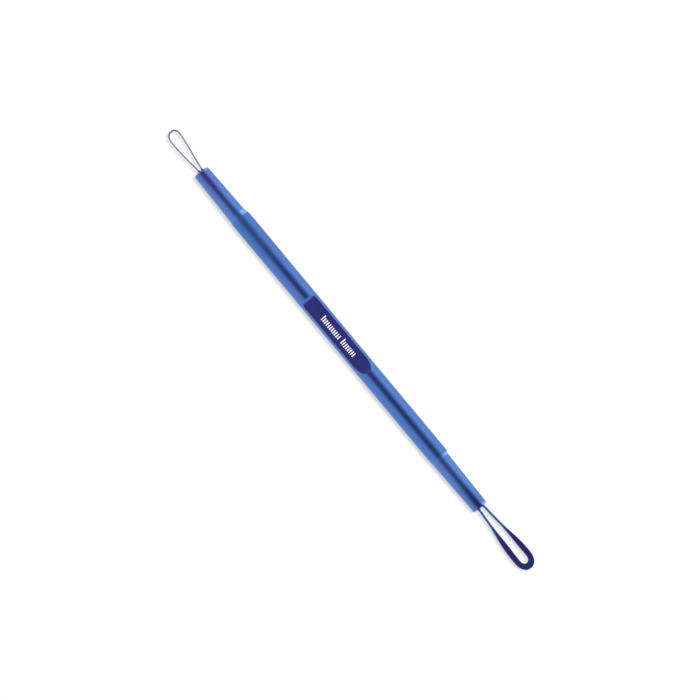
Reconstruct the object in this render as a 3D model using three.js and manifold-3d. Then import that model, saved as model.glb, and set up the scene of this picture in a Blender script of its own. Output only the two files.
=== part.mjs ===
// Double-ended wire loop tool: a round steel bar with two finger flats, a turned ferrule brazed into each
// end of it, and a hairpin of wire soldered into each ferrule. One loop is fine round wire and the other is
// heavier wire, pressed into a strip towards its tip.
//
// Millimetres. +X runs along the bar towards the wide loop, +Y lies across both loops and +Z stands out of
// the upper flat. The origin is under the middle of the tool, on the surface that it lies on.
import * as THREE from "three";
import { mergeVertices } from "three/addons/utils/BufferGeometryUtils.js";
import Module from "manifold-3d";

// ---------- Driving dimensions ----------

const bar = {
  length: 65.8,
  diameter: 4.5,
  drillPoint: 0.7, // depth of the cone that the drill leaves at the bottom of each socket
};

const flat = {
  length: 20.55, // from edge to edge on the bar's surface
  depth: 0.8,
  offMiddle: 0.575, // from the bar's middle towards the fine loop
  fineRunOut: 1.6, // how far the cutter takes to leave the bar, towards the fine loop
  wideRunOut: 3.4,
};

const spigot = {
  diameter: 2.5,
  length: 7.2,
  chamfer: 0.2,
  endGap: 0.6, // left under the spigot, before the drill's cone
};

const fit = {
  radial: 0.03, // between two pieces that are soldered or brazed together
  face: 0.04, // between two faces that butt together
};

const neckOffset = 0.1; // the outside of each ferrule is ground this far off its bore, towards -Y

const fineEnd = {
  name: "fine",
  barChamfer: { length: 0.7, height: 0.08 },
  ferrule: { length: 12.9, shoulderStep: 0.2, mouthDiameter: 3.55, mouthRounding: 0.5 },
  brazeLength: 1.1,
  solder: { wall: 0.1, depth: 5, proud: 0.1 },
  legDepth: 6, // how far the legs of the loop go into the ferrule
  loop: {
    wireDiameter: 0.4,
    reach: 10.7, // from the ferrule's mouth to the outside of the tip
    mouthSpacing: 0.8, // between the centres of the two legs
    bellySpacing: 2.52,
    ease: 1.3, // 1 opens the legs evenly, and more keeps them close together for longer
    lean: 0.47, // how far the tip leans towards +Y
    stripWidth: 0.4,
    stripThickness: 0.4,
    tipWidth: 0.4,
    outerTip: 1.6, // length of the rounded end of the loop's outside
    innerTip: 1.24,
    pressed: { left: [3, 9], right: [3, 9] }, // where each leg starts and ends turning into strip
    sides: 10,
  },
};

const wideEnd = {
  name: "wide",
  barChamfer: { length: 0.35, height: 0.08 },
  ferrule: { length: 13.8, shoulderStep: 0.2, mouthDiameter: 3.5, mouthRounding: 0.12 },
  brazeLength: 0.6,
  solder: { wall: 0.12, depth: 5, proud: 0.12 },
  legDepth: 6,
  loop: {
    wireDiameter: 0.55,
    reach: 16.8,
    mouthSpacing: 1.3,
    bellySpacing: 2.98,
    ease: 1.33,
    lean: -0.05,
    stripWidth: 1.26,
    stripThickness: 0.22,
    tipWidth: 1.46,
    outerTip: 3.1,
    innerTip: 1.2,
    pressed: { left: [5, 12.8], right: [3.5, 11] },
    sides: 12,
  },
};

const leanPower = 1.4; // 1 leans a loop evenly, and more keeps it straight for longer
const tipSquareness = 2.2; // 2 rounds a loop's tip as an ellipse, and more makes it squarer
const legGap = 0.8; // left in each ferrule's bore behind the ends of the legs
const roundSides = 32; // facets round every turned piece, with one of them facing straight down
const cornerSteps = 4; // segments in each rounded corner
const legSteps = 22; // segments along each free leg of a loop
const tipSteps = 26; // segments round the tip of a loop

// ---------- Sizes that follow from those ----------

const barRadius = bar.diameter / 2;
const axisHeight = barRadius * Math.cos(Math.PI / roundSides); // the bar lies on one of its facets
const socketRadius = spigot.diameter / 2 + fit.radial;
const socketDepth = spigot.length + spigot.endGap;
const toolLength = [fineEnd, wideEnd].reduce(
  (sum, end) => sum + end.ferrule.length + end.loop.reach,
  bar.length,
);
const fineShoulderX = -toolLength / 2 + fineEnd.loop.reach + fineEnd.ferrule.length;
const wideShoulderX = fineShoulderX + bar.length;

// The legs of a loop, with solder round them, fill the bore of its ferrule.
const plugRadius = ({ loop, solder }) =>
  loop.mouthSpacing / 2 + loop.wireDiameter / 2 + fit.radial + solder.wall;
const boreRadius = (end) => plugRadius(end) + fit.radial;
const boreDepth = (end) => end.legDepth + legGap;

// Radius of a ferrule's outside at a distance from its shoulder, along its straight taper.
function neckRadius({ ferrule }, x) {
  const shoulder = barRadius - ferrule.shoulderStep;
  return shoulder + ((ferrule.mouthDiameter / 2 - shoulder) * x) / ferrule.length;
}

// ---------- Materials ----------

const steel = (color, roughness) =>
  new THREE.MeshStandardMaterial({ color, roughness, metalness: 1 });
const blueCoat = steel(0x4468b8, 0.3);
const neckCoat = steel(0x4f78c0, 0.32);
const stripCoat = steel(0x2d2d73, 0.35);
const wireSteel = steel(0x7c7c90, 0.35);
const brazeCoat = steel(0x6f9ad8, 0.3);
const solderCoat = steel(0x2c2f5e, 0.45);

// ---------- Shaping helpers ----------

const wasm = await Module();
wasm.setup();

function toSolid(geometry) {
  const bare = geometry.clone();
  bare.deleteAttribute("normal");
  bare.deleteAttribute("uv");
  const merged = mergeVertices(bare);
  const triVerts = new Uint32Array(merged.index.array);
  const vertProperties = merged.attributes.position.array;
  return new wasm.Manifold(new wasm.Mesh({ numProp: 3, vertProperties, triVerts }));
}

function toGeometry(solid) {
  const { vertProperties, triVerts } = solid.getMesh();
  const geometry = new THREE.BufferGeometry();
  geometry.setAttribute("position", new THREE.BufferAttribute(vertProperties, 3));
  geometry.setIndex(new THREE.BufferAttribute(triVerts, 1));
  geometry.computeVertexNormals();
  return geometry;
}

// A turned piece about the X axis. Its outline is a path of (radius, distance along X).
function turned(outline) {
  const points = outline.getPoints(cornerSteps);
  const lathe = new THREE.LatheGeometry(points, roundSides, Math.PI / roundSides);
  return lathe.rotateZ(-Math.PI / 2);
}

// A flat shape drawn in Z and Y, drawn out along +X.
function drawnAlongX(shape, length) {
  const settings = { depth: length, bevelEnabled: false, curveSegments: roundSides / 2 };
  return new THREE.ExtrudeGeometry(shape, settings).rotateY(Math.PI / 2);
}

function addMesh(group, name, geometry, material) {
  const mesh = new THREE.Mesh(geometry, material);
  mesh.name = name;
  group.add(mesh);
  return mesh;
}

// ---------- The bar ----------

// One end of the bar's outline, from the bottom of its socket to its outside, or back again.
function barEnd(outline, end, x, outward) {
  const chamfer = end.barChamfer;
  const bottom = x - outward * socketDepth;
  const corners = [
    [0, bottom - outward * bar.drillPoint],
    [socketRadius, bottom],
    [socketRadius, x],
    [barRadius - chamfer.height, x],
    [barRadius, x - outward * chamfer.length],
  ];
  if (outward > 0) corners.reverse();
  corners.forEach(([radius, along]) => outline.lineTo(radius, along));
}

// The cutter that mills the upper flat: its floor, with an arc up out of the bar at each end.
function flatCutter() {
  const floor = barRadius - flat.depth;
  const above = barRadius + 1;
  const arcRadius = (runOut) => (runOut ** 2 + flat.depth ** 2) / (2 * flat.depth);
  const fineRadius = arcRadius(flat.fineRunOut);
  const wideRadius = arcRadius(flat.wideRunOut);
  const fineArcX = -flat.length / 2 + flat.fineRunOut;
  const wideArcX = flat.length / 2 - flat.wideRunOut;
  const side = new THREE.Shape();
  side.moveTo(-flat.length / 2, above);
  side.absarc(
    fineArcX,
    floor + fineRadius,
    fineRadius,
    -Math.PI / 2 - Math.asin(flat.fineRunOut / fineRadius),
    -Math.PI / 2,
  );
  side.absarc(
    wideArcX,
    floor + wideRadius,
    wideRadius,
    -Math.PI / 2,
    -Math.PI / 2 + Math.asin(flat.wideRunOut / wideRadius),
  );
  side.lineTo(flat.length / 2, above);
  side.closePath();
  const width = bar.diameter + 2;
  const cutter = new THREE.ExtrudeGeometry(side, { depth: width, bevelEnabled: false });
  return cutter.translate(0, 0, -width / 2).rotateX(Math.PI / 2);
}

function barGeometry() {
  const outline = new THREE.Path();
  outline.moveTo(0, fineShoulderX + socketDepth + bar.drillPoint);
  barEnd(outline, fineEnd, fineShoulderX, -1);
  barEnd(outline, wideEnd, wideShoulderX, 1);
  const flatX = (fineShoulderX + wideShoulderX) / 2 - flat.offMiddle;
  const upper = toSolid(flatCutter().translate(flatX, 0, 0));
  const lower = upper.mirror([0, 0, 1]);
  return toGeometry(toSolid(turned(outline)).subtract(upper).subtract(lower));
}

// ---------- The two ends ----------
// Each end is built with its shoulder at x = 0 and its loop towards +X.

// The ferrule's tapered outside, as a solid, with a margin round it and before its shoulder.
function neckSolid(end, margin) {
  const { length, mouthRounding } = end.ferrule;
  const start = fit.face - margin;
  const mouthRadius = neckRadius(end, length) + margin;
  const outline = new THREE.Path();
  outline.moveTo(0, start);
  outline.lineTo(neckRadius(end, start) + margin, start);
  outline.lineTo(neckRadius(end, length - mouthRounding) + margin, length - mouthRounding);
  outline.quadraticCurveTo(mouthRadius, length, mouthRadius - mouthRounding, length);
  outline.lineTo(0, length);
  return toSolid(turned(outline).translate(0, -neckOffset, 0));
}

function ferruleGeometry(end) {
  const { length } = end.ferrule;
  const bore = boreRadius(end);
  const boreBottom = length - boreDepth(end);
  const overlap = 1; // how far the spigot and the drill reach past the faces that they join or cut

  const stub = new THREE.Path();
  stub.moveTo(0, -spigot.length);
  stub.lineTo(spigot.diameter / 2 - spigot.chamfer, -spigot.length);
  stub.lineTo(spigot.diameter / 2, spigot.chamfer - spigot.length);
  stub.lineTo(spigot.diameter / 2, overlap);
  stub.lineTo(0, overlap);

  const drill = new THREE.Path();
  drill.moveTo(0, boreBottom - bore / 2);
  drill.lineTo(bore, boreBottom);
  drill.lineTo(bore, length + overlap);
  drill.lineTo(0, length + overlap);

  const blank = neckSolid(end, 0).add(toSolid(turned(stub)));
  return toGeometry(blank.subtract(toSolid(turned(drill))));
}

// Braze in the corner between the bar's end and the ferrule. It is thickest at +Y, where the step is, and
// stops where the two outsides come close together.
function brazeGeometry(end) {
  const rim = barRadius - end.barChamfer.height;
  const foot = fit.face + end.brazeLength;
  const edge = neckRadius(end, foot) - neckOffset + 2 * fit.radial;
  const stopY = -barRadius / 3;

  const outline = new THREE.Path();
  outline.moveTo(0, fit.face);
  outline.lineTo(rim, fit.face);
  outline.quadraticCurveTo((rim + 3 * edge) / 4, (fit.face + foot) / 2, edge, foot);
  outline.lineTo(0, foot);
  const beyond = new THREE.BoxGeometry(2 * foot, bar.diameter, 2 * bar.diameter);
  beyond.translate(foot / 2, stopY - bar.diameter / 2, 0);
  const corner = toSolid(turned(outline)).subtract(toSolid(beyond));
  return toGeometry(corner.subtract(neckSolid(end, fit.radial)));
}

// Solder in the mouth of the ferrule, with a hole for each leg of the loop.
function solderGeometry(end) {
  const { loop, solder, ferrule } = end;
  const turn = Math.PI / roundSides;
  const disc = new THREE.Shape();
  disc.absarc(0, 0, plugRadius(end), turn, turn + 2 * Math.PI);
  for (const side of [-1, 1]) {
    const hole = new THREE.Path();
    const centre = (side * loop.mouthSpacing) / 2;
    hole.absarc(0, centre, loop.wireDiameter / 2 + fit.radial, 0, 2 * Math.PI, true);
    disc.holes.push(hole);
  }
  const plug = drawnAlongX(disc, solder.depth + solder.proud);
  return plug.translate(ferrule.length - solder.depth, 0, 0);
}

// ---------- The loops ----------
// A loop is measured by its inner and its outer outline, each with the ferrule's mouth at x = 0.

// Half the distance between the centres of the legs, from the mouth to a belly at x = length.
function halfSpacing({ mouthSpacing, bellySpacing, ease }, x, length) {
  const along = THREE.MathUtils.clamp(x / length, 0, 1);
  const opened = Math.sin((Math.PI / 2) * along ** ease);
  return (mouthSpacing + (bellySpacing - mouthSpacing) * opened) / 2;
}

// One outline of one leg, from its end in the ferrule to the tip. Outward is 1 or -1, for the outer or
// the inner outline. Pressed says where the leg turns from round wire into strip.
function legOutline(end, outward, pressed) {
  const { loop } = end;
  const outer = outward > 0;
  const roundLength = outer ? loop.outerTip : loop.innerTip;
  const tip = outer ? loop.reach : loop.reach - loop.tipWidth;
  const straight = tip - roundLength;
  const widthAt = (x) => {
    const share = THREE.MathUtils.smoothstep(x, ...pressed);
    return loop.wireDiameter + (loop.stripWidth - loop.wireDiameter) * share;
  };
  const sideAt = (x) => halfSpacing(loop, x, straight) + (outward * widthAt(x)) / 2;
  const squared = (share) => Math.max(share, 0) ** (2 / tipSquareness);
  const points = [new THREE.Vector2(-end.legDepth, sideAt(-end.legDepth))];
  for (let i = 0; i < legSteps; i++) {
    const x = (straight * i) / legSteps;
    points.push(new THREE.Vector2(x, sideAt(x)));
  }
  for (let i = 0; i <= tipSteps / 2; i++) {
    const angle = (Math.PI * i) / tipSteps;
    const x = straight + roundLength * squared(Math.sin(angle));
    points.push(new THREE.Vector2(x, sideAt(straight) * squared(Math.cos(angle))));
  }
  return points;
}

// The stations of one leg on one side of the tool: a centre, a vector from it to the outer outline, and
// the wire's thickness there.
function legStations(end, side, pressed) {
  const { loop } = end;
  const inner = legOutline(end, -1, pressed);
  return legOutline(end, 1, pressed).map((outer, i) => {
    const centre = outer.clone().add(inner[i]).divideScalar(2);
    const across = outer.clone().sub(centre);
    const share = THREE.MathUtils.smoothstep(centre.x, ...pressed);
    const lean = loop.lean * (Math.max(centre.x, 0) / loop.reach) ** leanPower;
    centre.set(centre.x, side * centre.y + lean);
    across.y *= side;
    const thickness = loop.wireDiameter + (loop.stripThickness - loop.wireDiameter) * share;
    return { centre, across, thickness };
  });
}

// A cylinder bent along the stations, out along the -Y leg and back along the +Y leg. Its section is round
// where width and thickness are the same, and a strip with round edges where they differ.
function loopGeometry(end) {
  const { pressed, sides } = end.loop;
  const out = legStations(end, -1, pressed.right);
  const back = legStations(end, 1, pressed.left).reverse();
  const stations = [...out, ...back.slice(1)];
  const last = stations.length - 1;
  const wire = new THREE.CylinderGeometry(1, 1, 1, sides, last, false, Math.PI / sides);
  const position = wire.attributes.position;
  for (let i = 0; i < position.count; i++) {
    const { centre, across, thickness } = stations[Math.round((0.5 + position.getY(i)) * last)];
    const halfWidth = across.length();
    const round = position.getX(i);
    const flatShare = 1 - thickness / 2 / halfWidth;
    const reach = round * (1 - flatShare) + Math.sign(round) * flatShare;
    const height = (position.getZ(i) * thickness) / 2;
    position.setXYZ(i, centre.x + across.x * reach, centre.y + across.y * reach, height);
  }
  return wire;
}

// ---------- Assembly ----------

function endGroup(end, wireMaterial) {
  const group = new THREE.Group();
  addMesh(group, `${end.name}_ferrule`, ferruleGeometry(end), neckCoat);
  addMesh(group, `${end.name}_braze_ring`, brazeGeometry(end), brazeCoat);
  addMesh(group, `${end.name}_solder_plug`, solderGeometry(end), solderCoat);
  const loop = addMesh(group, `${end.name}_wire_loop`, loopGeometry(end), wireMaterial);
  loop.position.x = end.ferrule.length;
  return group;
}

const tool = new THREE.Group();
tool.position.z = axisHeight;
addMesh(tool, "handle_bar", barGeometry(), blueCoat);

const fineGroup = endGroup(fineEnd, wireSteel);
fineGroup.position.x = fineShoulderX;
fineGroup.rotation.y = Math.PI; // turns the end round and keeps +Y where it is
tool.add(fineGroup);

const wideGroup = endGroup(wideEnd, stripCoat);
wideGroup.position.x = wideShoulderX;
tool.add(wideGroup);

export default tool;
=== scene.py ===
"""Double-ended wire loop tool: a coated steel bar, two brazed ferrules and two soldered wire loops.

Metres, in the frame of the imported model. Sizes are written in millimetres and turned into metres where a
mesh is made.
"""

import logging
import math
from collections.abc import Mapping, Sequence
from dataclasses import dataclass, field
from enum import Enum
from itertools import pairwise

import bpy
from mathutils import Matrix, Vector


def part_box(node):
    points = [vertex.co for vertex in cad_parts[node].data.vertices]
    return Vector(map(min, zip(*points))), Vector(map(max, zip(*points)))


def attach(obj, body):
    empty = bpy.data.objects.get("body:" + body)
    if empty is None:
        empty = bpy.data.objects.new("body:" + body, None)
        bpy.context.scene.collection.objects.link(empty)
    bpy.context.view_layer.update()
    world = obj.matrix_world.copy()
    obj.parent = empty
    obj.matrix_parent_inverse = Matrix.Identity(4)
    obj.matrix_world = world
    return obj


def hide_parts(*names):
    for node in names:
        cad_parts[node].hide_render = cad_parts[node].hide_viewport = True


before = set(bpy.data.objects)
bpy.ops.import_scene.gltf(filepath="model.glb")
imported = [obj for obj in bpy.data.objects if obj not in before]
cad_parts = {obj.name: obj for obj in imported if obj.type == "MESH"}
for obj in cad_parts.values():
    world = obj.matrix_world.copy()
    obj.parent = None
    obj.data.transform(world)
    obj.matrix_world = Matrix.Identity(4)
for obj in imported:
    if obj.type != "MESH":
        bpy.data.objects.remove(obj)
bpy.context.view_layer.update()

log = logging.getLogger("wire_loop_tool")

MM = 0.001
BODY = "root"
SHARP_ANGLE = 32.0  # degrees
POINT_RADIUS = 0.01  # the rings next to a fan are this small where a piece comes to a point
ROUND_SIDES = 96
WIRE_SIDES = 28
BEND_STEPS = 7

Colour = tuple[float, float, float]
Point = tuple[float, float, float]
Span = tuple[float, float]
Spot = tuple[float, float]
Ring = list[Point]
Profile = list[Spot]
Face = tuple[int, ...]


# ---------- Shader nodes ----------


class Value:
    """An output socket of a node tree. On a number, arithmetic adds Math nodes."""

    def __init__(self, recipe: "Recipe", socket: bpy.types.NodeSocket | None) -> None:
        """Wraps a socket.

        Args:
            recipe: the recipe that owns the node tree.
            socket: an output socket, or None behind a node that has no outputs.
        """
        self.recipe = recipe
        self.socket = socket

    def _math(self, operation: str, first: "Number", second: "Number" = 0.0) -> "Value":
        """Adds a Math node.

        Args:
            operation: the node's operation.
            first: its first number.
            second: its second number.

        Returns:
            The node's result.
        """
        return self.recipe.node("ShaderNodeMath", {"operation": operation}, {0: first, 1: second})

    def __add__(self, other: "Number") -> "Value":
        """Returns self + other."""
        return self._math("ADD", self, other)

    def __radd__(self, other: "Number") -> "Value":
        """Returns other + self."""
        return self._math("ADD", other, self)

    def __sub__(self, other: "Number") -> "Value":
        """Returns self - other."""
        return self._math("SUBTRACT", self, other)

    def __rsub__(self, other: "Number") -> "Value":
        """Returns other - self."""
        return self._math("SUBTRACT", other, self)

    def __mul__(self, other: "Number") -> "Value":
        """Returns self * other."""
        return self._math("MULTIPLY", self, other)

    def __rmul__(self, other: "Number") -> "Value":
        """Returns other * self."""
        return self._math("MULTIPLY", other, self)

    def __truediv__(self, other: "Number") -> "Value":
        """Returns self / other."""
        return self._math("DIVIDE", self, other)

    def __pow__(self, other: "Number") -> "Value":
        """Returns self to the power of other."""
        return self._math("POWER", self, other)

    def __abs__(self) -> "Value":
        """Returns the size of self."""
        return self._math("ABSOLUTE", self)

    def smooth(self, low: float, high: float) -> "Value":
        """Rises smoothly from 0 at low to 1 at high.

        Args:
            low: where the rise starts.
            high: where it ends. It may be below low, and then the result falls.

        Returns:
            A number from 0 to 1.
        """
        settings = {"interpolation_type": "SMOOTHSTEP"}
        if high < low:
            return 1 - self.smooth(high, low)
        sockets = {"Value": self, "From Min": low, "From Max": high}
        return self.recipe.node("ShaderNodeMapRange", settings, sockets)

    def rise(self, low: float, high: float) -> "Value":
        """Returns smooth for a distance in metres, with low and high in millimetres."""
        return self.smooth(low * MM, high * MM)

    def swing(self, size: float) -> "Value":
        """Returns noise as a change about nothing, with size as its strength."""
        return (self - 0.5) * size

    def within(self, start: float, end: float, fade: float) -> "Value":
        """Marks a stretch with soft ends.

        Args:
            start: where it starts, in millimetres.
            end: where it ends.
            fade: how long each soft end is, inside the stretch.

        Returns:
            1 in the stretch and 0 outside it.
        """
        return self.rise(start, start + fade) * self.rise(end, end - fade)


Number = Value | float


@dataclass(frozen=True)
class Grain:
    """A noise pattern: its features per metre along X, Y and Z, and the finer layers in it."""

    stretch: Point
    detail: float = 3.0
    roughness: float = 0.5


class Recipe:
    """The node tree of one material or of the world."""

    def __init__(self, tree: bpy.types.NodeTree) -> None:
        """Empties a node tree and takes it over.

        Args:
            tree: the tree.
        """
        tree.nodes.clear()
        self.tree = tree

    def node(
        self,
        kind: str,
        settings: Mapping[str, object],
        sockets: Mapping[str | int, object],
        output: str | int = 0,
    ) -> Value:
        """Adds one node.

        Args:
            kind: the node's type.
            settings: its own settings.
            sockets: a value or a wrapped socket for each named or numbered input.
            output: the output to return.

        Returns:
            The wrapped output, which holds no socket if the node has none.
        """
        made = self.tree.nodes.new(kind)
        for name, value in settings.items():
            setattr(made, name, value)
        for key, value in sockets.items():
            if isinstance(value, Value):
                self.tree.links.new(value.socket, made.inputs[key])
            else:
                made.inputs[key].default_value = value
        return Value(self, made.outputs[output] if made.outputs else None)

    def place(self) -> tuple[Value, Value, Value]:
        """Returns the surface point's X, Y and Z in the piece's own frame, in metres."""
        point = self.point()
        return tuple(self.node("ShaderNodeSeparateXYZ", {}, {0: point}, axis) for axis in "XYZ")

    def point(self) -> Value:
        """Returns the surface point in the piece's own frame, as a vector."""
        return self.node("ShaderNodeTexCoord", {}, {}, "Object")

    def noise(self, grain: Grain) -> Value:
        """Adds cloudy noise.

        Args:
            grain: its pattern.

        Returns:
            A number that stays mostly between 0.3 and 0.7.
        """
        spot = self.node("ShaderNodeMapping", {}, {"Vector": self.point(), "Scale": grain.stretch})
        sockets = {"Vector": spot, "Scale": 1.0, "Detail": grain.detail, "Roughness": grain.roughness}
        return self.node("ShaderNodeTexNoise", {}, sockets)

    def mix(self, share: Number, first: "Colour | Value", second: "Colour | Value") -> Value:
        """Blends two colours.

        Args:
            share: 0 for the first and 1 for the second.
            first: one colour.
            second: the other.

        Returns:
            The blended colour.
        """
        pair = [c if isinstance(c, Value) else (*c, 1.0) for c in (first, second)]
        return self.node("ShaderNodeMix", {"data_type": "RGBA"}, {0: share, 6: pair[0], 7: pair[1]}, 2)

    def bump(self, height: Value, depth: float) -> Value:
        """Turns a height into a surface normal.

        Args:
            height: the height, from 0 to 1.
            depth: what 1 stands for, in millimetres.

        Returns:
            The normal.
        """
        return self.node("ShaderNodeBump", {}, {"Height": height, "Distance": depth * MM})


# ---------- Finishes ----------


@dataclass(frozen=True)
class Finish:
    """What every finish of the tool has."""

    name: str
    colour: Colour
    roughness: float

    def material(self) -> bpy.types.Material:
        """Makes a material with this finish.

        Returns:
            The material.
        """
        made = bpy.data.materials.new(self.name)
        made.use_nodes = True
        recipe = Recipe(made.node_tree)
        surface = recipe.node("ShaderNodeBsdfPrincipled", {}, self.sockets(recipe))
        recipe.node("ShaderNodeOutputMaterial", {}, {"Surface": surface})
        return made

    def sockets(self, recipe: Recipe) -> dict[str, object]:
        """Works out the shader's inputs.

        Args:
            recipe: the material's nodes.

        Returns:
            A value or a wrapped socket for each input.
        """
        return {"Base Color": (*self.colour, 1.0), "Roughness": self.roughness}

    @staticmethod
    def metal(colour: Value, rough: Value, normal: Value) -> dict[str, object]:
        """Returns the shader's inputs for coated metal."""
        return {"Base Color": colour, "Roughness": rough, "Metallic": 1.0, "Normal": normal}


@dataclass(frozen=True)
class BarCoat(Finish):
    """Blue coat on drawn bar: lengthwise drawing lines, cloudy film, and worn edges along the flats.

    Lengths are in millimetres. In a pair such as film_span, an effect starts at the first number and is full
    at the second. A share is how much of a colour is mixed in, and a rough is what it adds to the roughness.
    """

    film: Colour
    milled: Colour
    worn: Colour
    radius: float
    floor: float
    flat_span: Span
    deep_span: Span
    axis_height: float
    satin_span: Span
    satin: float
    ends: Span
    lines: Grain = Grain((160, 9000, 9000), 2.0, 0.6)
    streaks: Grain = Grain((70, 900, 900), 2.0)
    clouds: Grain = Grain((150, 260, 260))
    scratches: Grain = Grain((900, 14000, 5000), 1.0)
    flat_fade: float = 0.4
    deep_fade: float = 1.0
    end_fade: float = 9.0
    milled_depth: Span = (0.01, 0.05)
    edge_height: Span = (0.09, 0.02)
    edge_depth: Span = (0.12, 0.03)
    drag_start: Span = (-1.0, 0.0)
    drag_end: Span = (5.0, 1.5)
    drag_width: Span = (0.65, 0.25)
    film_span: Span = (0.35, 0.7)
    streak_span: Span = (0.5, 0.75)
    scratch_span: Span = (0.71, 0.8)
    film_share: float = 0.8
    streak_share: float = 0.3
    drag_share: float = 0.8
    milled_share: float = 0.9
    least_wear: float = 0.05
    cloudy_wear: float = 0.45
    scratch_share: float = 0.18
    line_rough: float = 0.12
    cloud_rough: float = 0.08
    milled_rough: float = 0.04
    scratch_rough: float = 0.12
    relief: float = 0.004

    def sockets(self, recipe: Recipe) -> dict[str, object]:
        """Works out the shader's inputs.

        Args:
            recipe: the material's nodes.

        Returns:
            A value or a wrapped socket for each input.
        """
        x, y, z = recipe.place()
        up = abs(z - self.axis_height * MM)
        out = (y * y + up * up) ** 0.5
        start, end = self.flat_span
        near_flat = x.within(start - self.flat_fade, end + self.flat_fade, self.flat_fade)
        milled = out.rise(*(self.radius - depth for depth in self.milled_depth)) * near_flat
        deep = x.within(*self.deep_span, self.deep_fade)
        edge = abs(up - self.floor * MM).rise(*self.edge_height)
        edge = edge * out.rise(*(self.radius - depth for depth in self.edge_depth)) * deep

        drawn = recipe.noise(self.lines)
        streaks = recipe.noise(self.streaks)
        cloud = recipe.noise(self.clouds)
        scratch = recipe.noise(self.scratches).smooth(*self.scratch_span)

        plain = x.within(*self.ends, self.end_fade)
        drag = x.rise(*(end + past for past in self.drag_start))
        drag = drag * x.rise(*(end + past for past in self.drag_end))
        drag = drag * abs(y).rise(*self.drag_width)

        film = cloud.smooth(*self.film_span) * self.film_share * plain
        colour = recipe.mix(film, self.colour, self.film)
        colour = recipe.mix(streaks.smooth(*self.streak_span) * self.streak_share, colour, self.milled)
        colour = recipe.mix(drag * self.drag_share, colour, self.milled)
        colour = recipe.mix(milled * self.milled_share, colour, self.milled)
        colour = recipe.mix(edge * (self.least_wear + self.cloudy_wear * cloud), colour, self.worn)
        colour = recipe.mix(scratch * self.scratch_share, colour, self.worn)
        satin = x.rise(*self.satin_span) * self.satin
        rough = self.roughness + drawn.swing(self.line_rough) + cloud.swing(self.cloud_rough)
        rough = rough + milled * self.milled_rough + scratch * self.scratch_rough + satin
        height = drawn * 0.6 + streaks * 0.4 - scratch * 0.3
        return self.metal(colour, rough, recipe.bump(height, self.relief))


@dataclass(frozen=True)
class NeckCoat(Finish):
    """Blue coat on a turned ferrule: fine tool marks round it, and a heat tint near the soldered mouth.

    The tint, mouth, mouth highlight and dark reflection spans are shares of the way from the shoulder to the
    mouth. The mouth highlight is painted on the +Y side of the rim; the dark reflection is painted in patches
    along the middle line, darker towards the mouth.
    """

    film: Colour
    heat: Colour
    # stain: the colour of a painted dark reflection along the middle line, towards the mouth
    dark_reflection: Colour
    # rim: the colour of a painted highlight on the +Y side of the mouth's rim
    rim: Colour
    shoulder_x: float
    mouth_x: float
    tool_marks: Grain = Grain((11000, 300, 300), 2.0, 0.6)
    clouds: Grain = Grain((260, 420, 420))
    handling: Grain = Grain((1300, 1300, 1300))
    handled_span: Span = (0.6, 0.72)
    tint_span: Span = (0.35, 1.05)
    tint_clouds: Span = (0.3, 0.62)
    film_clouds: Span = (0.4, 0.7)
    mouth_span: Span = (0.97, 1.0)
    mouth_highlight_span: Span = (0.94, 0.98)
    mouth_highlight_side: Span = (0.3, 0.9)
    dark_reflection_span: Span = (0.3, 0.95)
    dark_reflection_clouds: Span = (0.2, 0.45)
    dark_reflection_width: Span = (1.1, 0.4)
    dark_reflection_offset: float = 0.2
    film_share: float = 0.7
    tint_share: float = 0.7
    mouth_share: float = 0.5
    mouth_highlight_share: float = 0.6
    mark_rough: float = 0.14
    cloud_rough: float = 0.08
    handled_rough: float = 0.06
    relief: float = 0.005

    def sockets(self, recipe: Recipe) -> dict[str, object]:
        """Works out the shader's inputs.

        Args:
            recipe: the material's nodes.

        Returns:
            A value or a wrapped socket for each input.
        """
        x, y, _z = recipe.place()
        along = (x - self.shoulder_x * MM) / ((self.mouth_x - self.shoulder_x) * MM)
        turned = recipe.noise(self.tool_marks)
        cloud = recipe.noise(self.clouds)
        handled = recipe.noise(self.handling).smooth(*self.handled_span)
        tinted = along.smooth(*self.tint_span) * cloud.smooth(*self.tint_clouds)

        colour = recipe.mix(cloud.smooth(*self.film_clouds) * self.film_share, self.colour, self.film)
        colour = recipe.mix(tinted * self.tint_share, colour, self.heat)
        colour = recipe.mix(along.smooth(*self.mouth_span) * self.mouth_share, colour, self.heat)
        # painted highlight on the +Y side of the mouth's rim
        rim = along.smooth(*self.mouth_highlight_span) * y.rise(*self.mouth_highlight_side) * self.mouth_highlight_share
        colour = recipe.mix(rim, colour, self.rim)
        # painted dark reflection: a patchy band along the middle line, darker towards the mouth
        middle = abs(y + self.dark_reflection_offset * MM).rise(*self.dark_reflection_width)
        dark_reflection_mask = along.smooth(*self.dark_reflection_span) * middle * cloud.smooth(*self.dark_reflection_clouds)
        colour = recipe.mix(dark_reflection_mask, colour, self.dark_reflection)
        rough = self.roughness + turned.swing(self.mark_rough) + cloud.swing(self.cloud_rough)
        rough = rough + handled * self.handled_rough
        return self.metal(colour, rough, recipe.bump(turned * 0.8 + handled * 0.2, self.relief))


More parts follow.
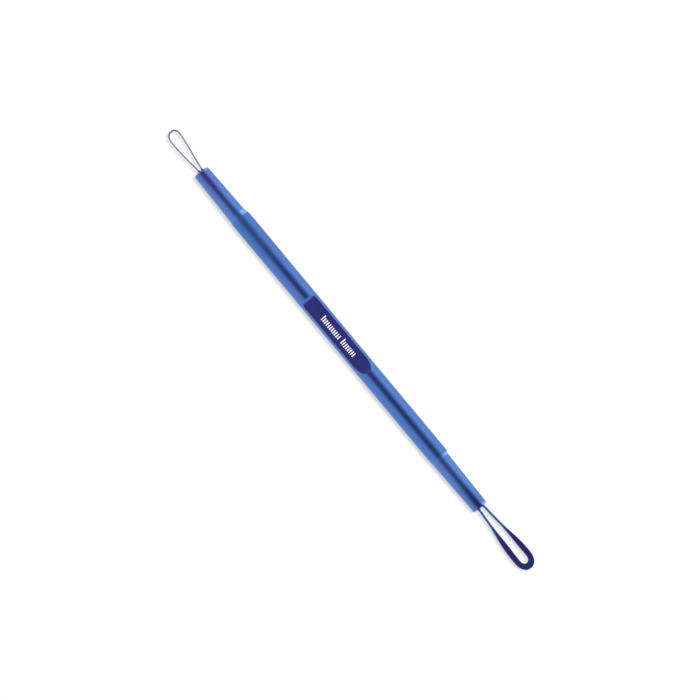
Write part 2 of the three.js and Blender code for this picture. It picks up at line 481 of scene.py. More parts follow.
@dataclass(frozen=True)
class FilletCoat(Finish):
    """Coated braze or solder, which has run smooth and set with slight waves and pits.

    It is thickest on the +Y side, and there its colour is paler in patches: a painted highlight.
    """

    # pale: the colour of the painted highlight on the +Y side
    pale: Colour
    wave: float
    highlight_from: float
    waves: Grain = Grain((1500, 1500, 1500), 2.0)
    pits: Grain = Grain((6000, 6000, 6000), 2.0)
    pit_span: Span = (0.62, 0.75)
    wave_span: Span = (0.25, 0.6)
    highlight_rise: Span = (-0.8, 0.3)
    pit_rough: float = 0.2
    wave_rough: float = 0.1
    pit_depth: float = 0.3

    def sockets(self, recipe: Recipe) -> dict[str, object]:
        """Works out the shader's inputs.

        Args:
            recipe: the material's nodes.

        Returns:
            A value or a wrapped socket for each input.
        """
        _x, y, _z = recipe.place()
        waves = recipe.noise(self.waves)
        pits = recipe.noise(self.pits).smooth(*self.pit_span)
        # painted highlight: the +Y side is mixed towards the pale colour, in patches with the waves
        lit_side = y.rise(*(self.highlight_from + past for past in self.highlight_rise))
        colour = recipe.mix(waves.smooth(*self.wave_span) * lit_side, self.colour, self.pale)
        rough = self.roughness + pits * self.pit_rough + waves.swing(self.wave_rough)
        return self.metal(colour, rough, recipe.bump(waves - pits * self.pit_depth, self.wave))


@dataclass(frozen=True)
class WireCoat(Finish):
    """Drawn wire, which changes colour along its length where it was heated or pressed into strip."""

    far_colour: Colour
    film: Colour
    change: Span
    tip_colour: Colour
    tip: Span
    flecks: float
    lines: Grain = Grain((700, 12000, 12000), 2.0, 0.6)
    clouds: Grain = Grain((500, 500, 500))
    specks: Grain = Grain((2600, 4200, 4200), 2.0)
    speck_span: Span = (0.6, 0.72)
    film_span: Span = (0.45, 0.7)
    film_share: float = 0.5
    ragged: float = 0.9
    line_rough: float = 0.16
    relief: float = 0.004

    def sockets(self, recipe: Recipe) -> dict[str, object]:
        """Works out the shader's inputs.

        Args:
            recipe: the material's nodes.

        Returns:
            A value or a wrapped socket for each input.
        """
        x, _y, _z = recipe.place()
        drawn = recipe.noise(self.lines)
        cloud = recipe.noise(self.clouds)
        fleck = recipe.noise(self.specks).smooth(*self.speck_span)
        moved = x + cloud.swing(self.ragged) * MM
        colour = recipe.mix(moved.rise(*self.change), self.colour, self.far_colour)
        colour = recipe.mix(cloud.smooth(*self.film_span) * self.film_share, colour, self.film)
        colour = recipe.mix(moved.rise(*self.tip), colour, self.tip_colour)
        rough = self.roughness + drawn.swing(self.line_rough) + fleck * self.flecks
        return self.metal(colour, rough, recipe.bump(drawn * 0.7 + fleck * 0.3, self.relief))


@dataclass(frozen=True)
class InkCoat(Finish):
    """Pad-printed ink, a little thin in places."""

    thin: Colour
    grain: Grain = Grain((5200, 5200, 5200), 3.0, 0.6)
    thin_span: Span = (0.5, 0.75)
    thin_share: float = 0.6
    grain_rough: float = 0.2
    relief: float = 0.006

    def sockets(self, recipe: Recipe) -> dict[str, object]:
        """Works out the shader's inputs.

        Args:
            recipe: the material's nodes.

        Returns:
            A value or a wrapped socket for each input.
        """
        grain = recipe.noise(self.grain)
        return {
            "Base Color": recipe.mix(grain.smooth(*self.thin_span) * self.thin_share, self.colour, self.thin),
            "Roughness": self.roughness + grain.swing(self.grain_rough),
            "Normal": recipe.bump(grain, self.relief),
        }


@dataclass(frozen=True)
class FloorCoat(Finish):
    """A plain pale sheet, lit from below, so that shadows on it stay light."""

    glow: float
    grain: Grain = Grain((60, 60, 60), 2.0)
    grain_rough: float = 0.05

    def sockets(self, recipe: Recipe) -> dict[str, object]:
        """Works out the shader's inputs.

        Args:
            recipe: the material's nodes.

        Returns:
            A value or a wrapped socket for each input.
        """
        grain = recipe.noise(self.grain)
        return {
            "Base Color": (*self.colour, 1.0),
            "Roughness": self.roughness + grain.swing(self.grain_rough),
            "Emission Color": (1.0, 1.0, 1.0, 1.0),
            "Emission Strength": self.glow,
        }


# ---------- Mesh helpers ----------


def placed(name: str, data: bpy.types.ID) -> bpy.types.Object:
    """Puts a new object in the scene.

    Args:
        name: its name.
        data: its mesh, light or camera.

    Returns:
        The object.
    """
    made = bpy.data.objects.new(name, data)
    bpy.context.scene.collection.objects.link(made)
    return made


def solid(name: str, points: Sequence[Point | Vector], faces: Sequence[Face]) -> bpy.types.Object:
    """Makes one closed piece, with its faces outwards and smooth shading that breaks at sharp edges.

    Args:
        name: the piece's name.
        points: its points, in millimetres.
        faces: the numbers of each face's points, which all go the same way round.

    Returns:
        The piece.
    """
    mesh = bpy.data.meshes.new(name)
    mesh.from_pydata([Vector(p) * MM for p in points], [], faces)
    mesh.validate()
    if signed_volume(mesh) < 0:
        mesh.flip_normals()
    mesh.polygons.foreach_set("use_smooth", [True] * len(mesh.polygons))
    mesh.set_sharp_from_angle(angle=math.radians(SHARP_ANGLE))
    return placed(name, mesh)


def bands(rings: Sequence[Ring], closed: bool) -> list[Face]:
    """Joins rings of equally many points with four-sided faces.

    Args:
        rings: the rings, in order.
        closed: whether the last one joins the first.

    Returns:
        The faces.
    """
    count = len(rings[0])
    levels = len(rings) if closed else len(rings) - 1
    faces = []
    for level in range(levels):
        low = level * count
        high = (level + 1) % len(rings) * count
        for i in range(count):
            j = (i + 1) % count
            faces.append((low + i, low + j, high + j, high + i))
    return faces


def skin(name: str, rings: Sequence[Ring]) -> bpy.types.Object:
    """Makes one closed piece from rings of points, with a fan over the first and the last ring.

    Args:
        name: the piece's name.
        rings: rings of equally many points, in millimetres.

    Returns:
        The piece.
    """
    count = len(rings[0])
    points = [Vector(p) for ring in rings for p in ring]
    faces = bands(rings, closed=False)
    for start, outward in ((0, 1), (len(points) - count, -1)):
        hub = len(points)
        points.append(sum(points[start : start + count], Vector()) / count)
        for i in range(count):
            j = (i + 1) % count
            faces.append((start + j, start + i, hub)[::outward])
    return solid(name, points, faces)


def tube(name: str, rings: Sequence[Ring]) -> bpy.types.Object:
    """Makes one closed piece that goes right round, such as a washer.

    Args:
        name: the piece's name.
        rings: rings of equally many points, in millimetres. The last one joins the first.

    Returns:
        The piece.
    """
    return solid(name, [p for ring in rings for p in ring], bands(rings, closed=True))


def signed_volume(mesh: bpy.types.Mesh) -> float:
    """Measures a closed mesh.

    Args:
        mesh: the mesh.

    Returns:
        Its volume, which is negative where its faces look inwards.
    """
    total = 0.0
    for face in mesh.polygons:
        corners = [mesh.vertices[i].co for i in face.vertices]
        for second, third in zip(corners[1:], corners[2:], strict=False):
            total += corners[0].dot(second.cross(third))
    return total / 6


def spread(start: float, end: float, steps: int) -> list[float]:
    """Spaces numbers evenly.

    Args:
        start: the first number.
        end: the number after the last.
        steps: how many to give.

    Returns:
        The numbers, without the end.
    """
    return [start + (end - start) * i / steps for i in range(steps)]


def bent(start: Spot, corner: Spot, end: Spot) -> Profile:
    """Rounds a corner of an outline.

    Args:
        start: where the rounding starts.
        corner: the corner that it stays inside.
        end: where it ends.

    Returns:
        Points along the rounding, with both ends.
    """
    points = []
    for i in range(BEND_STEPS + 1):
        t = i / BEND_STEPS
        weights = ((1 - t) ** 2, 2 * t * (1 - t), t * t)
        pulls = tuple(zip(weights, (start, corner, end), strict=True))
        points.append(tuple(sum(weight * place[k] for weight, place in pulls) for k in (0, 1)))
    return points


def dress(piece: bpy.types.Object, finish: Finish, slot: str, *nodes: str) -> None:
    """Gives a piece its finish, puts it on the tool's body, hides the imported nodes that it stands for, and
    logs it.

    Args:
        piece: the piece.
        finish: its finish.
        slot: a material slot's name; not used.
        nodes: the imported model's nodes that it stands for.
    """
    piece.data.materials.append(finish.material())
    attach(piece, BODY)
    if nodes:
        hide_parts(*nodes)
    log.info("%s: %d faces, %s", piece.name, len(piece.data.polygons), finish.name)


# ---------- Shared sizes ----------


class Way(Enum):
    """Which way an end of the tool faces."""

    FINE = -1
    WIDE = 1


@dataclass(frozen=True)
class Axis:
    """The line that everything round is built about."""

    height: float

    def circle(self, x: float, radius: float, offset: float = 0.0, sides: int = ROUND_SIDES) -> Ring:
        """Makes a ring about the axis.

        Args:
            x: where it lies along the tool.
            radius: its radius.
            offset: how far its centre lies from the axis, along Y.
            sides: how many points it has.

        Returns:
            The ring.
        """
        ring = []
        for angle in spread(0.0, 2 * math.pi, sides):
            y = offset + radius * math.sin(angle)
            ring.append((x, y, self.height + radius * math.cos(angle)))
        return ring


# ---------- The bar ----------


@dataclass
class HandleBar:
    """The round bar, with a milled flat above and below and a socket in each end."""

    axis: Axis
    fine_x: float
    wide_x: float
    radius: float
    floor: float = 1.45
    flat_start: float = -14.35
    flat_end: float = 6.2
    fine_run_out: float = 1.6
    wide_run_out: float = 3.4
    socket_radius: float = 1.28
    socket_depth: float = 7.8
    drill_point: float = 0.7
    rim_drop: float = 0.08
    fine_easing: float = 0.7
    wide_easing: float = 0.35
    easing_corner: float = 0.6
    edge_break: float = 0.06
    least_corner: float = 7.0  # degrees
    flat_steps: int = 22
    side_steps: int = 40
    before_flat: float = 0.04
    fine_margin: float = 0.5
    wide_margin: float = 0.3

    def milled_height(self, x: float) -> float:
        """Finds how far the milled surface lies from the axis.

        Args:
            x: where along the tool.

        Returns:
            The distance, or the bar's radius where nothing is milled.
        """
        for edge, run_out, inward in (
            (self.flat_start, self.fine_run_out, 1),
            (self.flat_end, self.wide_run_out, -1),
        ):
            past_edge = (x - edge) * inward
            if past_edge <= 0:
                return self.radius
            if past_edge < run_out:
                depth = self.radius - self.floor
                arc = (run_out**2 + depth**2) / (2 * depth)
                return self.floor + arc - math.sqrt(arc**2 - (run_out - past_edge) ** 2)
        return self.floor

    def section(self, x: float, radius: float) -> Ring:
        """Makes a ring of the outside, with an eased edge where each flat meets the round.

        Args:
            x: where along the tool.
            radius: the round's radius there.

        Returns:
            The ring.
        """
        height = min(self.milled_height(x), radius)
        corner = max(math.acos(height / radius), math.radians(self.least_corner))
        ease = self.edge_break / radius
        ring: Ring = []
        for turn in (0, 1):
            sign = 1 - 2 * turn
            flat_angles = spread(-corner + ease, corner - ease, self.flat_steps) + [corner - ease]
            top = [(radius * math.sin(a), min(radius * math.cos(a), height)) for a in flat_angles]
            corner_point = (radius * math.sin(corner), min(radius * math.cos(corner), height))
            after = (radius * math.sin(corner + ease), radius * math.cos(corner + ease))
            before = (-after[0], after[1])
            far_corner = (-corner_point[0], corner_point[1])
            first_ease = bent(before, far_corner, top[0])[1:-1]
            last_ease = bent(top[-1], corner_point, after)[1:-1]
            last = math.pi - corner - ease
            side_angles = spread(corner + ease, last, self.side_steps) + [last]
            side = [(radius * math.sin(a), radius * math.cos(a)) for a in side_angles]
            for y, z in first_ease + top + last_ease + side:
                ring.append((x, sign * y, self.axis.height + sign * z))
        return ring

    def stations(self) -> Profile:
        """Lists where the outside's rings go.

        Returns:
            A place along the tool, and the round's radius there, for each ring.
        """
        rim = self.radius - self.rim_drop
        fine_plain = self.fine_x + self.fine_easing
        wide_plain = self.wide_x - self.wide_easing
        fine_corner = (fine_plain - self.easing_corner * self.fine_easing, self.radius)
        wide_corner = (wide_plain + self.easing_corner * self.wide_easing, self.radius)
        fine = bent((self.fine_x, rim), fine_corner, (fine_plain, self.radius))
        wide = bent((wide_plain, self.radius), wide_corner, (self.wide_x, rim))
        stops = (  # a place, and how many rings follow it
            (fine_plain + self.fine_margin, 24),
            (self.flat_start - self.before_flat, 26),
            (self.flat_start + self.fine_run_out, 26),
            (self.flat_end - self.wide_run_out, 34),
            (self.flat_end + self.before_flat, 24),
            (wide_plain - self.wide_margin, 0),
        )
        plain = [x for (start, steps), (end, _) in pairwise(stops) for x in spread(start, end, steps)]
        return fine + [(x, self.radius) for x in plain] + wide

    def round_ring(self, x: float, radius: float) -> Ring:
        """Makes a plain ring whose points match the outside's.

        Args:
            x: where along the tool.
            radius: its radius.

        Returns:
            The ring.
        """
        pattern = self.section(self.fine_x, self.radius)
        scale = radius / self.radius
        height = self.axis.height
        return [(x, y * scale, height + (z - height) * scale) for _x, y, z in pattern]

    def socket(self, face: float, inward: int) -> list[Ring]:
        """Makes the rings of one end's socket.

        Args:
            face: where the bar ends.
            inward: the way into the bar along X, 1 or -1.

        Returns:
            The rings, from the drill's point to the mouth.
        """
        bottom = face + inward * self.socket_depth
        return [
            self.round_ring(bottom + inward * self.drill_point, POINT_RADIUS),
            self.round_ring(bottom, self.socket_radius),
            self.round_ring(face, self.socket_radius),
        ]

    def build(self) -> bpy.types.Object:
        """Builds the piece.

        Returns:
            The piece.
        """
        outside = [self.section(x, radius) for x, radius in self.stations()]
        wide_socket = self.socket(self.wide_x, -1)[::-1]
        return skin("bar_shaft", [*self.socket(self.fine_x, 1), *outside, *wide_socket])

    def finish(self) -> Finish:
        """Describes the bar's finish.

        Returns:
            The finish.
        """
        return BarCoat(
            name="blue_bar_coat",
            colour=(0.072, 0.19, 0.51),
            roughness=0.2,
            film=(0.092, 0.172, 0.5),
            milled=(0.115, 0.14, 0.59),
            worn=(0.26, 0.38, 0.7),
            radius=self.radius,
            floor=self.floor,
            flat_span=(self.flat_start, self.flat_end),
            deep_span=(self.flat_start + self.fine_run_out, self.flat_end - self.wide_run_out),
            axis_height=self.axis.height,
            satin_span=(self.flat_start - 1, self.flat_start - 18),
            satin=0.24,
            ends=(self.fine_x, self.wide_x),
        )


# ---------- The ends ----------


@dataclass(frozen=True)
class LoopSizes:
    """The shape of one wire loop, from the mouth of its ferrule."""

    wire: float
    reach: float
    mouth_spacing: float
    belly_spacing: float
    ease: float
    lean: float
    strip_width: float
    strip_thickness: float
    tip_width: float
    outer_tip: float
    inner_tip: float
    pressed_left: Span
    pressed_right: Span
    leg_depth: float = 6.0
    lean_power: float = 1.4
    squareness: float = 2.2


@dataclass
class WireLoop:
    """A hairpin of wire, out along the -Y leg and back along the +Y leg."""

    axis: Axis
    way: Way
    mouth_x: float
    sizes: LoopSizes
    root_steps: int = 6
    leg_steps: int = 110
    tip_steps: int = 48

    def _outline(self, outward: int, pressed: Span) -> Profile:
        """Follows one outline of one leg.

        Args:
            outward: 1 for the outer outline or -1 for the inner one.
            pressed: where the leg starts and ends turning from wire into strip.

        Returns:
            Distances from the mouth and from the loop's middle line.
        """
        s = self.sizes
        round_length = s.outer_tip if outward > 0 else s.inner_tip
        tip = s.reach if outward > 0 else s.reach - s.tip_width
        straight = tip - round_length

        def side(x: float) -> float:
            """Gives the outline's distance from the middle line.

            Args:
                x: the distance from the mouth.

            Returns:
                The distance.
            """
            along = min(max(x / straight, 0.0), 1.0)
            opened = math.sin(math.pi / 2 * along**s.ease)
            spacing = s.mouth_spacing + (s.belly_spacing - s.mouth_spacing) * opened
            width = s.wire + (s.strip_width - s.wire) * smoothstep(x, *pressed)
            return spacing / 2 + outward * width / 2

        def squared(share: float) -> float:
            """Turns a share of a circle into one of a rounded square."""
            return max(share, 0.0) ** (2 / s.squareness)

        points = [(x, side(x)) for x in spread(-s.leg_depth, 0.0, self.root_steps)]
        points += [(x, side(x)) for x in spread(0.0, straight, self.leg_steps)]
        for i in range(self.tip_steps + 1):
            angle = math.pi / 2 * i / self.tip_steps
            x = straight + round_length * squared(math.sin(angle))
            points.append((x, side(straight) * squared(math.cos(angle))))
        return points

    def _leg(self, side: int, pressed: Span) -> list[Ring]:
        """Makes the rings of one leg, from its end in the ferrule to the tip.

        Args:
            side: 1 for the +Y leg or -1 for the -Y leg.
            pressed: where the leg starts and ends turning from wire into strip.

        Returns:
            The rings.
        """
        s = self.sizes
        rings = []
        for outer, inner in zip(self._outline(1, pressed), self._outline(-1, pressed), strict=True):
            x = (outer[0] + inner[0]) / 2
            share = smoothstep(x, *pressed)
            thickness = s.wire + (s.strip_thickness - s.wire) * share
            lean = s.lean * (max(x, 0.0) / s.reach) ** s.lean_power
            across = ((outer[0] - inner[0]) / 2, side * (outer[1] - inner[1]) / 2)
            centre = (x, side * (outer[1] + inner[1]) / 2 + lean)
            rings.append(self._section(centre, across, thickness))
        return rings

    def _section(self, centre: Spot, across: Spot, thickness: float) -> Ring:
        """Makes one ring: round for wire, or a strip with round edges.

        Args:
            centre: its place from the mouth and from the middle line.
            across: from the centre to the outer outline.
            thickness: its size along Z.

        Returns:
            The ring.
        """
        half_width = math.hypot(*across)
        flat_share = max(0.0, 1 - thickness / 2 / half_width)
        ring = []
        half_step = math.pi / WIRE_SIDES
        for angle in spread(half_step, 2 * math.pi + half_step, WIRE_SIDES):
            along = math.cos(angle)
            reach = along * (1 - flat_share) + math.copysign(flat_share, along)
            x = self.mouth_x + self.way.value * (centre[0] + across[0] * reach)
            y = centre[1] + across[1] * reach
            ring.append((x, y, self.axis.height + math.sin(angle) * thickness / 2))
        return ring

    def build(self) -> bpy.types.Object:
        """Builds the piece.

        Returns:
            The piece.
        """
        out = self._leg(-1, self.sizes.pressed_right)
        back = self._leg(1, self.sizes.pressed_left)[::-1]
        return skin(f"{self.way.name.lower()}_loop_wire", out + back[1:])


def smoothstep(value: float, low: float, high: float) -> float:
    """Rises smoothly from 0 at low to 1 at high.

    Args:
        value: the number.
        low: where the rise starts.
        high: where it ends.

    Returns:
        A number from 0 to 1.
    """
    share = min(max((value - low) / (high - low), 0.0), 1.0)
    return share * share * (3 - 2 * share)


@dataclass
class ToolEnd:
    """One end of the tool: a ferrule, its braze, its solder and its wire loop."""

    axis: Axis
    way: Way
    shoulder_x: float
    bar_radius: float
    length: float
    mouth_radius: float
    mouth_rounding: float
    braze_length: float
    solder_wall: float
    proud: float
    loop: LoopSizes
    loop_finish: Finish
    loop_slot: str
    heat: Colour
    # stain: the colour of the ferrule's painted dark reflection along its middle line
    dark_reflection: Colour
    shoulder_step: float = 0.2
    rim_drop: float = 0.08
    neck_offset: float = -0.1
    face_gap: float = 0.04
    joint_gap: float = 0.005
    spigot_radius: float = 1.25
    spigot_length: float = 7.2
    spigot_chamfer: float = 0.2
    solder_depth: float = 5.0
    leg_gap: float = 0.8
    radial_gap: float = 0.03
    lip: float = 0.04
    sides: int = 128
    taper_steps: int = 30
    braze_steps: int = 10
    braze_hollow: float = 1.7
    braze_sunk: float = 0.06
    braze_film: float = 0.006
    solder_climb: float = 0.3
    solder_reach: float = 0.11

    @property
    def prefix(self) -> str:
        """The start of the names of this end's pieces."""
        return self.way.name.lower()

    @property
    def mouth_x(self) -> float:
        """Where the ferrule's mouth lies along the tool."""
        return self.place(self.length)

    @property
    def plug_radius(self) -> float:
        """The radius of the solder that fills the bore."""
        return self.loop.mouth_spacing / 2 + self.loop.wire / 2 + self.radial_gap + self.solder_wall

    def place(self, along: float) -> float:
        """Turns a distance from the shoulder into a place along the tool.

        Args:
            along: the distance towards the loop.

        Returns:
            The place along X.
        """
        return self.shoulder_x + self.way.value * along

    def neck_radius(self, along: float) -> float:
        """Gives the radius of the ferrule's taper.

        Args:
            along: the distance from the shoulder.

        Returns:
            The radius.
        """
        shoulder = self.bar_radius - self.shoulder_step
        return shoulder + (self.mouth_radius - shoulder) * along / self.length

    def turned(self, profile: Profile, offset: float = 0.0) -> list[Ring]:
        """Turns an outline about the axis.

        Args:
            profile: distances from the shoulder and radii.
            offset: how far the centre lies from the axis, along Y.

        Returns:
            A ring for each point of the outline.
        """
        return [self.axis.circle(self.place(x), radius, offset, self.sides) for x, radius in profile]

    def ferrule(self) -> bpy.types.Object:
        """Builds the ferrule, with its spigot and its bore.

        Returns:
            The piece.
        """
        bore = self.plug_radius + self.joint_gap
        bore_bottom = self.length - self.loop.leg_depth - self.leg_gap
        rounding = self.mouth_rounding
        last = self.length - rounding
        mouth = bent(
            (last, self.neck_radius(last)),
            (self.length, self.neck_radius(self.length)),
            (self.length, self.neck_radius(self.length) - rounding),
        )
        taper = [(x, self.neck_radius(x)) for x in spread(self.face_gap, last, self.taper_steps)]
        spigot = [
            (-self.spigot_length, POINT_RADIUS),
            (-self.spigot_length, self.spigot_radius - self.spigot_chamfer),
            (self.spigot_chamfer - self.spigot_length, self.spigot_radius),
            (self.face_gap, self.spigot_radius),
        ]
        inside = [
            (self.length, bore + self.lip),
            (self.length - self.lip, bore),
            (bore_bottom, bore),
            (bore_bottom - bore / 2, POINT_RADIUS),
        ]
        rings = self.turned(spigot) + self.turned(taper + mouth, self.neck_offset) + self.turned(inside)
        return skin(f"{self.prefix}_neck", rings)

    def braze(self) -> bpy.types.Object:
        """Builds the fillet that runs from the bar's rim down to the ferrule, all the way round.

        Returns:
            The piece.
        """
        rim = self.bar_radius - self.rim_drop
        foot = self.face_gap + self.braze_length
        angles = spread(0.0, 2 * math.pi, self.sides)
        rings = []
        for i in range(self.braze_steps + 1):
            share = i / self.braze_steps
            along = self.joint_gap + (foot - self.joint_gap) * share
            ring = []
            for angle in angles:
                surface = self._neck_reach(angle, along) + self.braze_film
                raised = max(rim - surface, 0.0) * (1 - share) ** self.braze_hollow
                ring.append(self._polar(along, surface + raised, angle))
            rings.append(ring)
        for along in (foot, self.joint_gap):
            ring = [self._polar(along, self._neck_reach(a, along) - self.braze_sunk, a) for a in angles]
            rings.append(ring)
        return tube(f"{self.prefix}_fillet", rings)

    def _neck_reach(self, angle: float, along: float) -> float:
        """Measures the ferrule's outside from the bar's axis.

        Args:
            angle: from straight up, towards +Y.
            along: the distance from the shoulder.

        Returns:
            The distance at that angle.
        """
        sine = math.sin(angle)
        radius = self.neck_radius(along)
        inside = radius**2 - (self.neck_offset * math.cos(angle)) ** 2
        return self.neck_offset * sine + math.sqrt(inside)

    def _polar(self, along: float, radius: float, angle: float) -> Point:
        """Places a point about the bar's axis.

        Args:
            along: the distance from the shoulder.
            radius: the distance from the axis.
            angle: from straight up, towards +Y.

        Returns:
            The point.
        """
        height = self.axis.height + radius * math.cos(angle)
        return (self.place(along), radius * math.sin(angle), height)

    def solder(self) -> bpy.types.Object:
        """Builds the solder in the mouth, which climbs a little way up both legs.

        Returns:
            The piece.
        """
        rings = []
        radius = self.plug_radius
        for share in (0.02, *spread(0.08, 1.0, 16), 0.985, 1.0):  # of the plug's radius
            ring = []
            for angle in spread(0.0, 2 * math.pi, ROUND_SIDES):
                y = radius * share * math.sin(angle)
                z = radius * share * math.cos(angle)
                gap = math.hypot(abs(y) - self.loop.mouth_spacing / 2, z) - self.loop.wire / 2
                up_leg = self.solder_climb * math.exp(-max(gap, 0.0) / self.solder_reach) * (1 - share**6)
                front = self.proud * (1 - share**4) + up_leg
                ring.append((self.place(self.length + front), y, self.axis.height + z))
            rings.append(ring)
        back = self.length - self.solder_depth
        rings += [self.axis.circle(self.place(back), r) for r in (radius, POINT_RADIUS)]
        return skin(f"{self.prefix}_solder", rings)

    def neck_finish(self) -> Finish:
        """Describes the ferrule's finish.

        Returns:
            The finish.
        """
        return NeckCoat(
            name=f"{self.prefix}_neck_coat",
            colour=(0.085, 0.21, 0.55),
            roughness=0.32,
            film=(0.115, 0.198, 0.54),
            heat=self.heat,
            dark_reflection=self.dark_reflection,
            # rim: a painted highlight on the +Y side of the mouth
            rim=(0.34, 0.5, 0.9),
            shoulder_x=self.shoulder_x,
            mouth_x=self.mouth_x,
        )

    def assemble(self) -> None:
        """Builds and dresses every piece of this end."""
        dress(self.ferrule(), self.neck_finish(), "neck_coat", f"{self.prefix}_ferrule")
        braze = FilletCoat(
            name=f"{self.prefix}_braze_coat",
            colour=(0.09, 0.22, 0.56),
            roughness=0.36,
            # pale: the painted highlight on the braze's +Y side
            pale=(0.28, 0.48, 0.85),
            wave=0.004,
            highlight_from=1.2,
        )
        dress(self.braze(), braze, "braze", f"{self.prefix}_braze_ring")
        solder = FilletCoat(
            name=f"{self.prefix}_solder_coat",
            colour=(0.05, 0.07, 0.24),
            roughness=0.3,
            # pale: the painted highlight on the solder's +Y side
            pale=(0.09, 0.12, 0.34),
            wave=0.03,
            highlight_from=0.0,
        )
        dress(self.solder(), solder, "solder", f"{self.prefix}_solder_plug")
        wire = WireLoop(self.axis, self.way, self.mouth_x, self.loop).build()
        dress(wire, self.loop_finish, self.loop_slot, f"{self.prefix}_wire_loop")


# ---------- The printed mark ----------


@dataclass
class PrintedMark:
    """A plain row of printed strokes on the upper flat, in two groups."""

    centre_x: float
    surface: float
    tall: float = 1.4
    short: float = 1.06
    stroke: float = 0.26
    pitch: float = 0.53
    gap: float = 0.6
    groups: tuple[int, int] = (11, 8)
    thickness: float = 0.012
    rounding: float = 0.09
    below_middle: float = 0.12
    quarter_steps: int = 4

    def strokes(self) -> list[tuple[float, float, float]]:
        """Lists the strokes.

        Returns:
            The middle, the lower end and the height of each.
        """
        count = sum(self.groups)
        length = (count - 1) * self.pitch + self.gap
        x = self.centre_x - length / 2
        low = -self.short / 2 - self.below_middle
        placed = []
        for group in self.groups:
            for i in range(group):
                height = self.tall if i == 0 else self.short
                placed.append((x, low, height))
                x += self.pitch
            x += self.gap
        return placed

    def build(self) -> bpy.types.Object:
        """Builds all strokes as one piece.

        Returns:
            The piece.
        """
        points: list[Point] = []
        faces: list[Face] = []
        for x, low, height in self.strokes():
            outline = self._rounded(x, low, height)
            start = len(points)
            count = len(outline)
            for z in (self.surface, self.surface + self.thickness):
                points += [(px, py, z) for px, py in outline]
            faces.append(tuple(range(start + count - 1, start - 1, -1)))
            faces.append(tuple(range(start + count, start + 2 * count)))
            for i in range(count):
                j = (i + 1) % count
                faces.append((start + i, start + j, start + count + j, start + count + i))
        return solid("ink_mark", points, faces)

    def _rounded(self, x: float, low: float, height: float) -> Profile:
        """Draws one stroke with round corners.

        Args:
            x: its middle.
            low: its lower end.
            height: its height.

        Returns:
            The outline, anticlockwise from above.
        """
        r = self.rounding
        right = x + self.stroke / 2 - r
        left = x - self.stroke / 2 + r
        top = low + height - r
        outline = []
        for quarter, (cx, cy) in enumerate(((right, top), (left, top), (left, low + r), (right, low + r))):
            for i in range(self.quarter_steps + 1):
                angle = math.pi / 2 * (quarter + i / self.quarter_steps)
                outline.append((cx + r * math.cos(angle), cy + r * math.sin(angle)))
        return outline


# ---------- The studio ----------


@dataclass
class Studio:
    """A pale floor, soft light from both sides with a dim gap overhead, and the camera.

    Lengths are in millimetres, but the floor, the key light and the far limit are in metres.
    """

    side_light: float = 1.16
    side_bias: float = 0.15
    gap_colour: Colour = (0.24, 0.2, 0.27)
    gap_tilt: float = 0.06
    gap_width: Span = (0.95, 0.15)
    gap_height: Span = (0.25, 0.7)
    key_power: float = 17.0
    key_colour: Colour = (1.0, 0.98, 0.95)
    key_size: float = 0.25
    key_place: Point = (0.05, 0.225, 0.9)
    floor_colour: Colour = (0.2, 0.198, 0.196)
    floor_roughness: float = 0.8
    floor_glow: float = 0.57
    frame_width: float = 148.26
    lens: float = 200.0
    sensor: float = 36.0
    turn: float = 50.21
    floor_size: float = 6.0
    tool_height: float = 2.24
    look_at: Spot = (-0.0474, 0.0042)
    far_limit: float = 20.0

    def floor(self) -> None:
        """Lays the floor."""
        half = self.floor_size / 2
        mesh = bpy.data.meshes.new("floor")
        corners = [(-half, -half, 0.0), (half, -half, 0.0), (half, half, 0.0), (-half, half, 0.0)]
        mesh.from_pydata(corners, [], [(0, 1, 2, 3)])
        made = placed("floor", mesh)
        coat = FloorCoat("floor_coat", self.floor_colour, self.floor_roughness, self.floor_glow)
        made.data.materials.append(coat.material())

    def sky(self) -> None:
        """Surrounds the scene with pale light that is dim in a band overhead, along the tool."""
        world = bpy.data.worlds.new("studio")
        bpy.context.scene.world = world
        world.use_nodes = True
        recipe = Recipe(world.node_tree)
        towards = recipe.node("ShaderNodeTexCoord", {}, {}, "Generated")
        across = recipe.node("ShaderNodeSeparateXYZ", {}, {0: towards}, "Y")
        up = recipe.node("ShaderNodeSeparateXYZ", {}, {0: towards}, "Z")
        gap = up.smooth(*self.gap_height) * abs(across - self.gap_tilt).smooth(*self.gap_width)
        gap_colour = tuple(c / self.side_light for c in self.gap_colour)
        colour = recipe.mix(gap, (1.0, 1.0, 1.0), gap_colour)
        strength = self.side_light * (1 + self.side_bias * across)
        light = recipe.node("ShaderNodeBackground", {}, {"Color": colour, "Strength": strength})
        recipe.node("ShaderNodeOutputWorld", {}, {"Surface": light})

    def key(self) -> None:
        """Hangs a soft light high on the +Y side. It casts the shadow, and stays out of the reflections."""
        data = bpy.data.lights.new("key", "AREA")
        data.shape = "RECTANGLE"
        data.size = self.key_size
        data.size_y = self.key_size
        data.energy = self.key_power
        data.color = self.key_colour
        light = placed("key", data)
        light.location = self.key_place
        light.visible_glossy = False
        light.rotation_euler = (-light.location).to_track_quat("-Z", "Y").to_euler()

    def camera(self) -> None:
        """Looks straight down, with the tool lying across the frame."""
        data = bpy.data.cameras.new("camera")
        data.lens = self.lens
        data.sensor_width = self.sensor
        data.clip_end = self.far_limit
        camera = placed("camera", data)
        distance = self.frame_width * self.lens / self.sensor + self.tool_height
        spot = Matrix.Translation(Vector((*self.look_at, distance)) * MM)
        camera.matrix_world = spot @ Matrix.Rotation(math.radians(self.turn), 4, "Z")
        bpy.context.scene.camera = camera

    def build(self) -> None:
        """Builds all of it."""
        self.camera()
        self.floor()
        self.sky()
        self.key()
        bpy.context.scene.view_settings.view_transform = "Standard"


# ---------- The tool ----------


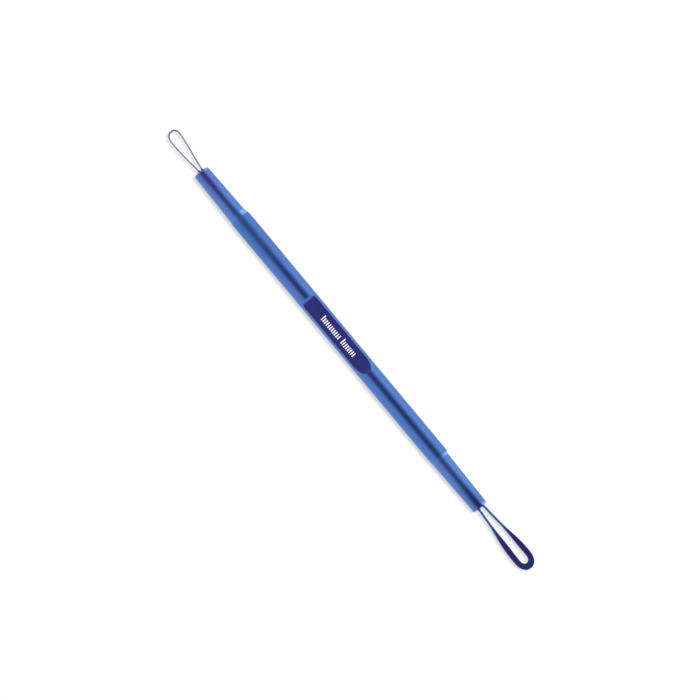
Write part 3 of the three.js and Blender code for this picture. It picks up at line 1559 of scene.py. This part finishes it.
@dataclass
class LoopTool:
    """The whole tool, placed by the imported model's own boxes."""

    fine_x: float = field(init=False)
    wide_x: float = field(init=False)
    axis_height: float = field(init=False)
    radius: float = field(init=False)

    def __post_init__(self) -> None:
        """Reads where the bar's two shoulders and its axis lie, and how thick it is."""
        low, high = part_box("handle_bar")
        self.fine_x = low[0] / MM
        self.wide_x = high[0] / MM
        self.axis_height = (low[2] + high[2]) / 2 / MM
        self.radius = (high[2] - low[2]) / 2 / MM

    def fine_end(self, axis: Axis) -> ToolEnd:
        """Describes the end with the fine loop.

        Args:
            axis: the tool's axis.

        Returns:
            The end.
        """
        return ToolEnd(
            axis=axis,
            way=Way.FINE,
            shoulder_x=self.fine_x,
            bar_radius=self.radius,
            length=12.9,
            mouth_radius=1.775,
            mouth_rounding=0.5,
            braze_length=1.1,
            solder_wall=0.1,
            proud=0.1,
            loop=LoopSizes(
                wire=0.4,
                reach=10.7,
                mouth_spacing=0.8,
                belly_spacing=2.52,
                ease=1.3,
                lean=0.47,
                strip_width=0.4,
                strip_thickness=0.4,
                tip_width=0.4,
                outer_tip=1.6,
                inner_tip=1.24,
                pressed_left=(3, 9),
                pressed_right=(3, 9),
            ),
            loop_finish=WireCoat(
                name="fine_wire_coat",
                colour=(0.42, 0.42, 0.49),
                roughness=0.3,
                far_colour=(0.35, 0.35, 0.47),
                film=(0.48, 0.48, 0.54),
                change=(-58, -50),
                tip_colour=(0.35, 0.35, 0.45),
                tip=(-57, -60),
                flecks=0.1,
            ),
            loop_slot="fine_wire",
            heat=(0.13, 0.11, 0.46),
            # stain: the painted dark reflection on the fine ferrule
            dark_reflection=(0.12, 0.13, 0.46),
        )

    def wide_end(self, axis: Axis) -> ToolEnd:
        """Describes the end with the wide loop.

        Args:
            axis: the tool's axis.

        Returns:
            The end.
        """
        return ToolEnd(
            axis=axis,
            way=Way.WIDE,
            shoulder_x=self.wide_x,
            bar_radius=self.radius,
            length=13.8,
            mouth_radius=1.75,
            mouth_rounding=0.12,
            braze_length=0.6,
            solder_wall=0.12,
            proud=0.12,
            loop=LoopSizes(
                wire=0.55,
                reach=16.8,
                mouth_spacing=1.3,
                belly_spacing=2.98,
                ease=1.33,
                lean=-0.05,
                strip_width=1.26,
                strip_thickness=0.22,
                tip_width=1.46,
                outer_tip=3.1,
                inner_tip=1.2,
                pressed_left=(5, 12.8),
                pressed_right=(3.5, 11),
            ),
            loop_finish=WireCoat(
                name="wide_strip_coat",
                colour=(0.085, 0.19, 0.46),
                roughness=0.27,
                far_colour=(0.095, 0.09, 0.4),
                film=(0.08, 0.13, 0.42),
                change=(49, 52),
                tip_colour=(0.06, 0.14, 0.42),
                tip=(57.8, 59.6),
                flecks=0.08,
            ),
            loop_slot="wide_strip",
            heat=(0.09, 0.15, 0.46),
            # stain: the painted dark reflection on the wide ferrule
            dark_reflection=(0.05, 0.09, 0.28),
        )

    def build(self) -> None:
        """Builds and dresses every piece."""
        axis = Axis(self.axis_height)
        bar = HandleBar(axis, self.fine_x, self.wide_x, self.radius)
        dress(bar.build(), bar.finish(), "blue_coat", "handle_bar")
        self.fine_end(axis).assemble()
        self.wide_end(axis).assemble()
        mark = PrintedMark(centre_x=-3.8, surface=self.axis_height + bar.floor)
        ink = InkCoat("white_ink", (0.42, 0.41, 0.5), 0.5, (0.3, 0.3, 0.4))
        dress(mark.build(), ink, "blue_coat")


def main() -> None:
    """Builds the studio and the tool, and reports each piece."""
    logging.basicConfig(level=logging.INFO, format="%(name)s: %(message)s")
    Studio().build()
    LoopTool().build()


if __name__ == "__main__":
    main()
